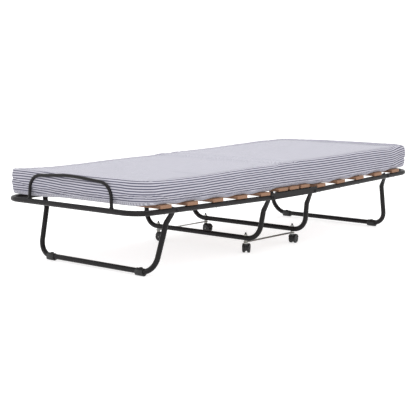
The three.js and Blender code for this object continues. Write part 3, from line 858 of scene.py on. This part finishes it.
class COT_OT_fixings(bpy.types.Operator):
    """Build the slat screws under the rails and the plugs in the rails' open ends"""

    bl_idname = "cot.fixings"
    bl_label = "Screws and plugs"

    def execute(self, context):
        tube = sizes().tube / 2
        rail = high("foot_frame_tube")[1] - tube
        head, rise = 3.6 * MM, 1.9 * MM
        dome = [(head, 0)] + [(head * math.cos(a), rise * math.sin(a)) for a in np.radians([15, 35, 55, 75])]
        screw = turned(dome, 20)
        downwards = np.diag([1.0, -1.0, -1.0])
        start = abs(low("foot_frame_tube")[0]) - FOLD[0] + tube * math.sin(RISE)
        plug = turned(
            [(tube - 2 * MM, -6 * MM), (tube - 1.6 * MM, 0), (tube + 0.2 * MM, 0)]
            + [(tube + 0.2 * MM, 1.4 * MM), (tube * 0.93, 2.2 * MM), (tube * 0.6, 2.6 * MM)],
            32,
        )
        inwards = np.array([[0, 0, -1], [0, 1, 0], [1, 0, 0]])
        for end in ENDS:
            screws, plugs = [], []
            for i in range(1, 6):
                along = (midpoint(f"foot_slat_{i}")[0] - FOLD[0]) / math.cos(RISE)
                for y in (rail, -rail):
                    points, faces = moved(screw, downwards, (along, y, -tube + 0.2 * MM))
                    screws.append((in_half(end, points), faces))
            for y in (rail, -rail):
                points, faces = moved(plug, inwards, (start, y, 0))
                plugs.append((in_half(end, points), faces))
            add_piece(f"{end}_slat_screws", screws, zinc_plate(), f"{end}_half", "zinc_plate")
            add_piece(f"{end}_rail_plugs", plugs, moulded_plastic(), f"{end}_half", "black_plastic")
        plate = high("left_centre_plate")
        flange = (plate[1] - 11 * MM, plate[2] - 2.4 * MM)
        middles = [midpoint(f"centre_slat_{i}")[0] for i in (1, 2, 3)]
        screws = [
            moved(screw, downwards, (x, y * flange[0], flange[1])) for x in middles for y in (1, -1)
        ]
        add_piece("centre_slat_screws", screws, zinc_plate(), "centre_section", "zinc_plate")
        return {"FINISHED"}


# ------------------------------------------------------------------ operators: the casters


class COT_OT_link_strips(bpy.types.Operator):
    """Build the zinc strips that tie the middle legs together at their casters"""

    bl_idname = "cot.link_strips"
    bl_label = "Link strips"

    def execute(self, context):
        for side in SIDES:
            node = f"{side}_link_strip"
            start, stop = low(node), high(node)
            radius = (stop[1] - start[1]) / 2
            half = stop[0] - radius
            outline = np.vstack([arc((half, 0), radius, -90, 90, 16), arc((-half, 0), radius, 90, 270, 16)])
            strip = prism(outline, stop[2] - start[2], 0.5 * MM)
            strip = moved(strip, offset=(0, midpoint(node)[1], start[2]))
            steel = zinc_plate("drawn_steel_strip", "steel")
            add_piece(f"{side}_tie_strip", [strip], steel, "centre_section", "zinc_plate", node)
        return {"FINISHED"}


class COT_OT_caster_stems(bpy.types.Operator):
    """Build the threaded stems with their collar, hexagon nuts and open thread"""

    bl_idname = "cot.caster_stems"
    bl_label = "Caster stems"

    def execute(self, context):
        thread, pitch = 4 * MM, 1.25 * MM
        for end, side in CORNERS:
            node = f"{end}_{side}_caster_stem"
            start, stop = low(node), high(node)
            strip = low(f"{side}_link_strip")[2], high(f"{side}_link_strip")[2]
            bar = low(f"{end}_mid_leg")[2]
            top = bar + sizes().tube
            collar, nut_width, washer = 8 * MM, 13 * MM, 0.9 * MM
            open_thread = stop[2] - top - 5.4 * MM
            crests = np.arange(int(open_thread / pitch * 2))
            depth = np.where(crests % 2 == 0, thread, thread - 0.7 * MM)
            heights = top + 5.3 * MM + crests * pitch / 2
            spindle = np.vstack([[(thread, start[2])], np.stack([depth, heights], axis=-1)])
            spindle = np.vstack([spindle, [(thread * 0.55, stop[2])]])
            shells = [
                turned(
                    [(collar * 0.9, strip[0] - 6.3 * MM), (collar, strip[0] - 5.6 * MM)]
                    + [(collar, strip[0] - 1 * MM), (collar * 0.92, strip[0] - 0.3 * MM)],
                    32,
                ),
                hexagon(nut_width, strip[1] + 0.1 * MM, bar + 0.4 * MM),
                hexagon(nut_width, top + washer, top + 5.4 * MM),
                turned([(collar, top - 0.2 * MM), (collar, top + washer)], 30),
            ]
            middle = midpoint(node) * (1, 1, 0)
            shells = [moved(shell, about_z(0.4), middle) for shell in shells]
            name = f"{end}_{side}_stem"
            add_piece(f"{name}_nuts", shells, zinc_plate(), "centre_section", "zinc_plate", node)
            stud = moved(turned(spindle, 24), offset=middle)
            add_piece(f"{name}_stud", [stud], black_oxide(), "centre_section", "zinc_plate")
        return {"FINISHED"}


def caster_place(end, side):
    """The swivel axis, the axle's middle and the way from one to the other of a caster."""
    swivel = pivot(f"{end}_{side}_swivel")
    axle = pivot(f"{end}_{side}_roll")
    return swivel, axle, math.atan2(axle[1] - swivel[1], axle[0] - swivel[0])


class COT_OT_caster_bodies(bpy.types.Operator):
    """Build the caster bodies: a crowned hood, a web between the wheels and the stem's boss"""

    bl_idname = "cot.caster_bodies"
    bl_label = "Caster bodies"

    def execute(self, context):
        wheel, wall, clear = 19 * MM, 2.2 * MM, 1.0 * MM
        half, web = 16.1 * MM, 4.5 * MM
        inner, outer = wheel + clear, wheel + clear + wall
        for end, side in CORNERS:
            swivel, axle, yaw = caster_place(end, side)
            trail = math.hypot(*(axle - swivel)[:2])
            across = half * np.sin(np.linspace(-math.pi / 2, math.pi / 2, 25))
            shares = np.abs(across / half)
            crown = outer - 1.1 * MM * shares**6
            under = inner + 0 * across
            loop_y = np.concatenate([across, across[::-1]])
            loop_r = np.concatenate([crown, under[::-1]])
            angle = np.radians(np.linspace(12, 150, 40))[:, None]
            rings = np.stack(
                [loop_r * np.cos(angle), loop_y + 0 * angle, loop_r * np.sin(angle)], axis=-1
            )
            hood = moved(skin(rings), offset=(trail, 0, axle[2]))
            outline = np.vstack(
                [
                    arc((0, 0), (inner + outer) / 2, 12, 150, 36),
                    arc((0, 0), wheel - 1 * MM, 160, 212, 14),
                    arc((0, 0), 6.5 * MM, 235, 350, 12),
                ]
            )
            plate = prism(outline, 2 * web, 0.6 * MM)
            plate = moved(plate, Z_TO_MINUS_Y, (trail, web, axle[2]))
            top = high(f"{end}_{side}_caster_body")[2]
            boss = turned(
                [(9.2 * MM, top - 7 * MM), (8.5 * MM, top - 1 * MM), (7.8 * MM, top), (4.4 * MM, top)], 32
            )
            turn = about_z(yaw)
            shells = [moved(shell, turn, (swivel[0], swivel[1], 0)) for shell in (hood, plate, boss)]
            caster = f"{end}_{side}_caster"
            add_piece(
                f"{end}_{side}_fork", shells, moulded_plastic(), caster, "black_plastic", f"{caster}_body"
            )
        return {"FINISHED"}


class COT_OT_caster_wheels(bpy.types.Operator):
    """Build the twin wheels with their treads, dished faces and hub caps, and the axles"""

    bl_idname = "cot.caster_wheels"
    bl_label = "Caster wheels"

    def execute(self, context):
        radius, width, web = 19 * MM, 11 * MM, 5.1 * MM
        bore, tread = 2.8 * MM, 2.6 * MM
        profile = np.vstack(
            [
                [(bore, 0), (radius - tread - 2 * MM, 0)],
                arc((radius - tread, tread), tread, -80, 0, 7),
                arc((radius - tread, width - tread), tread, 0, 90, 7),
                [(radius - 4.6 * MM, width - 0.1 * MM), (radius - 5.6 * MM, width - 1.6 * MM)],
                [(radius - 9 * MM, width - 2.0 * MM), (radius - 12.4 * MM, width - 1.4 * MM)],
                [(radius - 13 * MM, width - 0.2 * MM), (bore + 0.6 * MM, width), (bore, width - 0.5 * MM)],
            ]
        )
        for end, side in CORNERS:
            _, axle, yaw = caster_place(end, side)
            turn = about_z(yaw)
            for name, sign in (("a", 1), ("b", -1)):
                wheel = moved(ring_of(profile, 48), Z_TO_Y if sign > 0 else Z_TO_MINUS_Y)
                wheel = moved(moved(wheel, offset=(0, sign * web, 0)), turn, axle)
                add_piece(
                    f"{end}_{side}_roller_{name}", [wheel], moulded_plastic("moulded_nylon", 1.4 * MM),
                    f"{end}_{side}_wheels", "wheel_plastic", f"{end}_{side}_wheel_{name}",
                )
            reach = web + width - 1 * MM
            rounded = [(2.5 * MM, -reach + 0.5 * MM), (2.5 * MM, reach - 0.5 * MM)]
            pin = turned([(2.1 * MM, -reach), *rounded, (2.1 * MM, reach)], 20)
            pin = moved(moved(pin, Z_TO_Y), turn, axle)
            add_piece(
                f"{end}_{side}_axle_pin", [pin], zinc_plate(), f"{end}_{side}_wheels", "zinc_plate",
                f"{end}_{side}_axle",
            )
        return {"FINISHED"}


# ------------------------------------------------------------------ operators: the mattress


def ripple(x, y, length, seed, count=9):
    """Soft noise from -1 to 1: the mean of cosines of about that wavelength in random directions."""
    pick = np.random.default_rng(seed)
    total = 0
    for _ in range(count):
        angle, phase = pick.uniform(0, 2 * math.pi, 2)
        wave = 2 * math.pi / (length * pick.uniform(0.75, 1.35))
        total = total + np.cos(wave * (x * math.cos(angle) + y * math.sin(angle)) + phase)
    return total / math.sqrt(2 * count)


def bed_height(x):
    """Top of the slats under the mattress: level over the centre slats, climbing on each half."""
    out = np.abs(x)
    climb = FOLD[2] + (out - FOLD[0]) * math.tan(RISE) + SLAT_TOP / math.cos(RISE)
    centre = high("centre_slat_2")[2]
    inner = high("centre_slat_3")[0]
    return centre + (climb - centre) * ease(out, inner, inner + 60 * MM)


def slat_gap_sag(x):
    """How far the cloth hangs below the slats' tops: sin^2 across each gap, nothing over a slat."""
    out = np.abs(x)
    deepest = 4.5 * MM
    sag = 0 * out
    for i in range(1, 5):
        start, stop = high(f"foot_slat_{i}")[0], low(f"foot_slat_{i + 1}")[0]
        share = np.clip((out - start) / (stop - start), 0, 1)
        sag = sag + deepest * np.sin(math.pi * share) ** 2
    return sag


def mattress_top(x, y, inward):
    """Height of the mattress's top, where inward is the distance in from its edge.

    A level sheet that lifts at both ends and rolls slowly along the bed, plus a roll along the
    edge that is tallest at the foot end and next on the left side near it, one long slanting
    crease near the head fold, a short one on the head half, and small puckers by the edge and
    corners. Each crease is a trough exp(-(d / w)^2), where d is the distance from its line.
    """
    half_length = 0.93
    out = np.abs(x) / half_length
    level, end_lift, wave_height, wave_length = 384.4 * MM, 7 * MM, 2.4 * MM, 0.9
    wave = wave_height * np.cos(2 * math.pi * (x + 0.22) / wave_length)
    sheet = level + end_lift * out**6 + wave
    far_side = ease(y, 0.1, 0.36) * ease(x, 0.3, 0.75)
    share = np.maximum(0.6 * far_side, ease(x, 0.75, 0.9))
    lift = sizes().crown * (0.1 + 0.25 * ease(-x, 0.7, 0.9) + 0.9 * share)
    ridge_in, ridge_width = 15 * MM, 18 * MM
    roll = lift * (np.exp(-(((inward - ridge_in) / ridge_width) ** 2)) - 0.3)
    slant = 0.122 * ease(-y, 0.05, 0.46)
    bend = x + 0.062 + slant
    long_depth, long_width, short_depth, short_width = 5.6 * MM, 7 * MM, 4.5 * MM, 9 * MM
    beside = 1.6 * MM * np.exp(-(((bend + 0.02) / 0.02) ** 2))
    long_crease = -long_depth * np.exp(-((bend / long_width) ** 2)) + beside
    bend = x + 0.51 + 0.02 * ripple(y, y, 0.3, 4)
    short_crease = -short_depth * np.exp(-((bend / short_width) ** 2)) * ease(-y, 0.12, 0.2)
    edge_reach = 60 * MM
    near_edge = np.exp(-inward / edge_reach)
    corner = ease(np.abs(x), 0.7, 0.9) * ease(np.abs(y), 0.2, 0.38)
    pucker = (0.6 * near_edge + 1.6 * corner * near_edge) * ripple(x, y, 0.035, 5) * MM
    soft = 1.1 * MM * ripple(x, y, 0.19, 6) + 0.45 * MM * ripple(x, 0.35 * y, 0.07, 8)
    quiet = ease(np.abs(x), 0.0, 0.012)
    creases = (long_crease + short_crease) * ease(inward, 5 * MM, 45 * MM)
    return sheet + roll + (creases + (pucker + soft) * ease(inward, 0, 25 * MM)) * quiet


def half_mattress(sign):
    """One half of the mattress, from the middle of the cot to its end, as points and faces.

    The plan is a grid from the middle to the end whose two outer corners are drawn in to a
    quarter circle: with a and b the shares of the corner's square, a' = a sqrt(1 - b^2 / 2) and
    b' = b sqrt(1 - a^2 / 2). The top grid is that plan at the height of the top, rolled over
    its edge, the bottom grid is the plan on the slats, and a strip with rows that bulge joins
    their rims. The end in the middle of the cot is a flat grid.
    """
    edge = 388 * MM
    end_swell = 5 * MM  # room that the swelling end needs inside the frame's length
    reach = high("foot_mattress")[0] - end_swell
    band = 60 * MM  # the finer rows along the edges
    fine = band * (1 - np.cos(np.linspace(0, math.pi / 2, 13)[::-1]))[1:]
    xs = np.concatenate([np.linspace(0, reach - band, 96), reach - fine])
    ys = np.concatenate([np.linspace(0, edge - band, 37), edge - fine])
    ys = np.concatenate([-ys[:0:-1], ys])
    x, y = np.meshgrid(xs, ys, indexing="ij")
    used = (sign < 0) & (y < 0)
    corner = np.where(used, sizes().soft_corner, sizes().mattress_corner)
    a = np.clip((x - reach + corner) / corner, 0, 1)
    b = np.clip((np.abs(y) - edge + corner) / corner, 0, 1)
    px = x - a * corner + corner * a * np.sqrt(1 - b * b / 2)
    py = np.sign(y) * (np.abs(y) - b * corner + corner * b * np.sqrt(1 - a * a / 2))
    round_in = corner - np.hypot(px - reach + corner, np.abs(py) - edge + corner)
    straight_in = np.minimum(reach - px, edge - np.abs(py))
    inward = np.maximum(0, np.where((a > 0) & (b > 0), round_in, straight_in))

    px = sign * px
    sharp = ease(np.abs(px), 0.78, 0.9) * ease(-sign * py, -0.1, 0.3)
    roll = sizes().top_roll * (1 - 0.7 * sharp)
    turn = np.arccos(np.clip(1 - inward / roll, 0, 1))
    top = mattress_top(px, py, inward) - roll * (1 - np.sin(turn))
    over = roll * turn + np.maximum(0, inward - roll)
    low_roll = sizes().low_roll
    lower = np.arccos(np.clip(1 - inward / low_roll, 0, 1))
    droop = ease(-px, 0.84, 0.91) * (2.0 + 6.0 * ease(py, 0.05, 0.2)) * MM
    lifted = 0.4 * MM + 2.0 * MM * ease(px, 0.84, 0.91) - droop
    bottom = bed_height(px) + lifted - slat_gap_sag(px) + low_roll * (1 - np.sin(lower))

    rim = np.concatenate(
        [
            np.stack([np.arange(len(xs)), np.zeros(len(xs), int)], -1),
            np.stack([np.full(len(ys) - 2, len(xs) - 1), np.arange(1, len(ys) - 1)], -1),
            np.stack([np.arange(len(xs))[::-1], np.full(len(xs), len(ys) - 1)], -1),
        ]
    )
    rx, ry = px[rim[:, 0], rim[:, 1]], py[rim[:, 0], rim[:, 1]]
    high_rim, low_rim = top[rim[:, 0], rim[:, 1]], bottom[rim[:, 0], rim[:, 1]]
    rows = 15
    share = np.linspace(0, 1, rows + 2)[1:-1, None]
    way = np.stack([np.gradient(ry), -np.gradient(rx)], -1)
    way *= sign / np.linalg.norm(way, axis=1)[:, None]
    quiet = ease(np.abs(rx), 0.0, 0.03)
    wrinkle = 0.9 * MM * quiet * ripple(rx + ry, 4 * share * 0.1, 0.12, 11)
    belly = 4.5 * MM
    swell = belly * np.sin(math.pi * share**0.9) + wrinkle * np.sin(math.pi * share)
    sx, sy = rx + swell * way[:, 0], ry + swell * way[:, 1]
    sz = high_rim + (low_rim - high_rim) * share
    sag = 2.2 * MM * np.sin(math.pi * share) * ripple(ry, rx, 0.4, 12) * ease(np.abs(rx), 0.7, 0.92)
    sz = sz + sag

    kx = px[0][None] + 0 * share
    ky = py[0][None] + 0 * kx
    kz = top[0] + (bottom[0] - top[0]) * share

    grid = px.size
    points = np.concatenate(
        [
            np.stack([px, py, top], -1).reshape(-1, 3),
            np.stack([px, py, bottom], -1).reshape(-1, 3),
            np.stack([sx, sy, sz], -1).reshape(-1, 3),
            np.stack([kx, ky, kz], -1)[:, 1:-1].reshape(-1, 3),
        ]
    )
    drop = (high_rim - low_rim) * share
    cloth_z = np.concatenate([-over.ravel(), (200 * MM - over).ravel(), drop.ravel(), kz[:, 1:-1].ravel()])
    cloth = np.stack([points[:, 0], points[:, 1], cloth_z], -1)
    seam = 21 * MM + 26 * MM * ease(-px, 0.86, 0.92)  # the top panel ends further in at the head
    panel = np.concatenate([(over - seam).ravel(), np.ones(grid), -np.ones(len(points) - 2 * grid)])

    index = np.arange(grid).reshape(px.shape)
    strip = np.vstack(
        [
            index[rim[:, 0], rim[:, 1]],
            2 * grid + np.arange(drop.size).reshape(rows, -1),
            grid + index[rim[:, 0], rim[:, 1]],
        ]
    )
    inner = 2 * grid + drop.size + np.arange(rows * (len(ys) - 2)).reshape(rows, -1)
    inner = np.hstack([strip[1:-1, :1], inner, strip[1:-1, -1:]])
    inner = np.vstack([index[0], inner, grid + index[0]])

    def quads(lattice):
        corners = [lattice[:-1, :-1], lattice[1:, :-1], lattice[1:, 1:], lattice[:-1, 1:]]
        return np.stack(corners, -1).reshape(-1, 4)

    faces = np.vstack([quads(index), quads(grid + index)[:, ::-1], quads(strip)[:, ::-1], quads(inner)])
    return points, facing_out(points, faces.tolist())[1], cloth, panel


def places_of(mesh):
    """The places of a mesh's points, as rows."""
    flat = np.empty(len(mesh.vertices) * 3)
    mesh.vertices.foreach_get("co", flat)
    return flat.reshape(-1, 3)


def puff(made, frames=14, cap=5 * MM):
    """Swells the cloth of a mattress half by a short pressure simulation.

    The cloth is pinned at the middle of the cot and underneath, and no point moves further than
    cap from where it started.
    """
    rest = places_of(made.data)
    held = made.vertex_groups.new(name="held")
    above = rest[:, 2] - bed_height(rest[:, 0])
    firm = 1 - ease(np.abs(rest[:, 0]), 0.01, 0.05) * ease(above, 4 * MM, 30 * MM)
    for level in np.linspace(0.1, 1, 10):
        chosen = np.flatnonzero((firm > level - 0.1) & (firm <= level))
        held.add(chosen.tolist(), float(level), "REPLACE")
    cloth = made.modifiers.new("swell", "CLOTH")
    feel = {
        "quality": 4,
        "mass": 0.4,
        "tension_stiffness": 25,
        "compression_stiffness": 18,
        "shear_stiffness": 8,
        "bending_stiffness": 1.5,
        "shrink_min": -0.012,
        "use_pressure": True,
        "uniform_pressure_force": 3.0,
        "vertex_group_mass": "held",
    }
    for name, value in feel.items():
        setattr(cloth.settings, name, value)
    cloth.settings.effector_weights.gravity = 0.0
    cloth.collision_settings.use_collision = False
    scene = bpy.context.scene
    for step in range(1, frames + 1):
        scene.frame_set(step)
    shown = made.evaluated_get(bpy.context.evaluated_depsgraph_get())
    shift = places_of(shown.data) - rest
    size = np.linalg.norm(shift, axis=1)[:, None]
    shift *= cap * np.tanh(size / cap) / np.maximum(size, 1e-9)
    made.modifiers.remove(cloth)
    made.vertex_groups.clear()
    scene.frame_set(1)
    made.data.vertices.foreach_set("co", (rest + shift).ravel())
    made.data.update()


class COT_OT_mattress(bpy.types.Operator):
    """Build the foam mattress in its striped ticking, as two halves that meet in the middle"""

    bl_idname = "cot.mattress"
    bl_label = "Mattress"

    def execute(self, context):
        waist = 3 * MM
        for end, sign in ENDS.items():
            points, faces, cloth, panel = half_mattress(sign)
            made = new_object(f"{end}_mattress_half", points, faces, ticking(), 60)
            values = made.data.attributes.new("cloth", "FLOAT_VECTOR", "POINT")
            values.data.foreach_set("vector", cloth.ravel())
            values = made.data.attributes.new("panel", "FLOAT", "POINT")
            values.data.foreach_set("value", panel)
            puff(made)
            places = places_of(made.data)
            drawn_in = waist * (1 - ease(np.abs(places[:, 0]), 0.09, 0.16)) / 0.39
            places[:, 1] *= 1 - drawn_in
            made.data.vertices.foreach_set("co", places.ravel())
            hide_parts(f"{end}_mattress", *(["centre_mattress"] if end == "head" else []))
            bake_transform(made)
        return {"FINISHED"}


# ------------------------------------------------------------------ the stage


class COT_OT_stage(bpy.types.Operator):
    """Build the pale floor, the soft studio light and the camera"""

    bl_idname = "cot.stage"
    bl_label = "Stage"

    def execute(self, context):
        scene = context.scene
        flat, cove, wall, around = 9.0, 4.0, 9.0, 96
        profile = np.vstack([[(0.01, 0)], arc((flat, cove), cove, -90, 0, 24), [(flat + cove, wall)]])
        rings = revolve(profile, around)
        index = np.arange(len(profile) * around).reshape(-1, around)
        corners = [index[:-1], np.roll(index[:-1], -1, 1), np.roll(index[1:], -1, 1), index[1:]]
        faces = np.stack(corners, -1).reshape(-1, 4)[:, ::-1].tolist() + [index[0].tolist()]
        new_object("floor", rings.reshape(-1, 3), faces, studio_floor(), 60)
        world = bpy.data.worlds.new("white_room")
        world.use_nodes = True
        world.node_tree.nodes["Background"].inputs["Color"].default_value = (1, 1, 1, 1)
        world.node_tree.nodes["Background"].inputs["Strength"].default_value = 0.8
        scene.world = world
        scene.view_settings.view_transform = "Standard"
        self.add_light("overhead", (0.2, 0.3, 4.0), 4.0, 90)
        self.add_light("key", (-3.4, -2.6, 3.0), 2.4, 30)
        self.add_camera(scene)
        return {"FINISHED"}

    def add_light(self, name, place, size, power):
        lamp = bpy.data.lights.new(name, "AREA")
        lamp.shape = "DISK"
        lamp.size = size
        lamp.energy = power
        made = bpy.data.objects.new(name, lamp)
        made.location = place
        made.rotation_euler = (Vector((0, 0, 0.3)) - Vector(place)).to_track_quat("-Z", "Y").to_euler()
        bpy.context.scene.collection.objects.link(made)

    def add_camera(self, scene):
        """Stands the camera so that its back axis is (sin a cos e, -cos a cos e, sin e)."""
        azimuth, elevation, roll = (math.radians(x) for x in (-48.2, 8.03, -0.47))
        back = Vector(
            (
                math.sin(azimuth) * math.cos(elevation),
                -math.cos(azimuth) * math.cos(elevation),
                math.sin(elevation),
            )
        )
        right = Vector((0, 0, 1)).cross(back).normalized()
        above = back.cross(right)
        level = Matrix((right, above, back)).transposed()
        camera = bpy.data.cameras.new("camera")
        camera.sensor_width = 36  # mm, as is the lens
        camera.lens = 98.92
        made = bpy.data.objects.new("camera", camera)
        made.location = (-3.885, -3.373, 0.8815)
        made.rotation_mode = "QUATERNION"
        made.rotation_quaternion = (level @ Matrix.Rotation(roll, 3, "Z")).to_quaternion()
        scene.collection.objects.link(made)
        scene.camera = made


OPERATORS = (
    COT_OT_stage,
    COT_OT_frame_tubes,
    COT_OT_hoops,
    COT_OT_legs,
    COT_OT_slats,
    COT_OT_centre_plates,
    COT_OT_pivot_bolts,
    COT_OT_glides,
    COT_OT_fixings,
    COT_OT_link_strips,
    COT_OT_caster_stems,
    COT_OT_caster_bodies,
    COT_OT_caster_wheels,
    COT_OT_mattress,
)


class COT_PT_pieces(bpy.types.Panel):
    """Lists the cot's sizes, colours and pieces"""

    bl_idname = "COT_PT_pieces"
    bl_label = "Folding cot"
    bl_space_type = "VIEW_3D"
    bl_region_type = "UI"
    bl_category = "Folding cot"

    def draw(self, context):
        for group in (context.scene.cot_sizes, context.scene.cot_colours):
            box = self.layout.box()
            for name in group.__annotations__:
                box.prop(group, name)
        for operator in OPERATORS:
            self.layout.operator(operator.bl_idname)


CLASSES = (CotSizes, CotColours, *OPERATORS, COT_PT_pieces)


def register():
    for made in CLASSES:
        bpy.utils.register_class(made)
    bpy.types.Scene.cot_sizes = bpy.props.PointerProperty(type=CotSizes)
    bpy.types.Scene.cot_colours = bpy.props.PointerProperty(type=CotColours)


def unregister():
    del bpy.types.Scene.cot_colours
    del bpy.types.Scene.cot_sizes
    for made in reversed(CLASSES):
        bpy.utils.unregister_class(made)


def main():
    register()
    for operator in OPERATORS:
        group, name = operator.bl_idname.split(".")
        getattr(getattr(bpy.ops, group), name)()


if __name__ == "__main__":
    main()
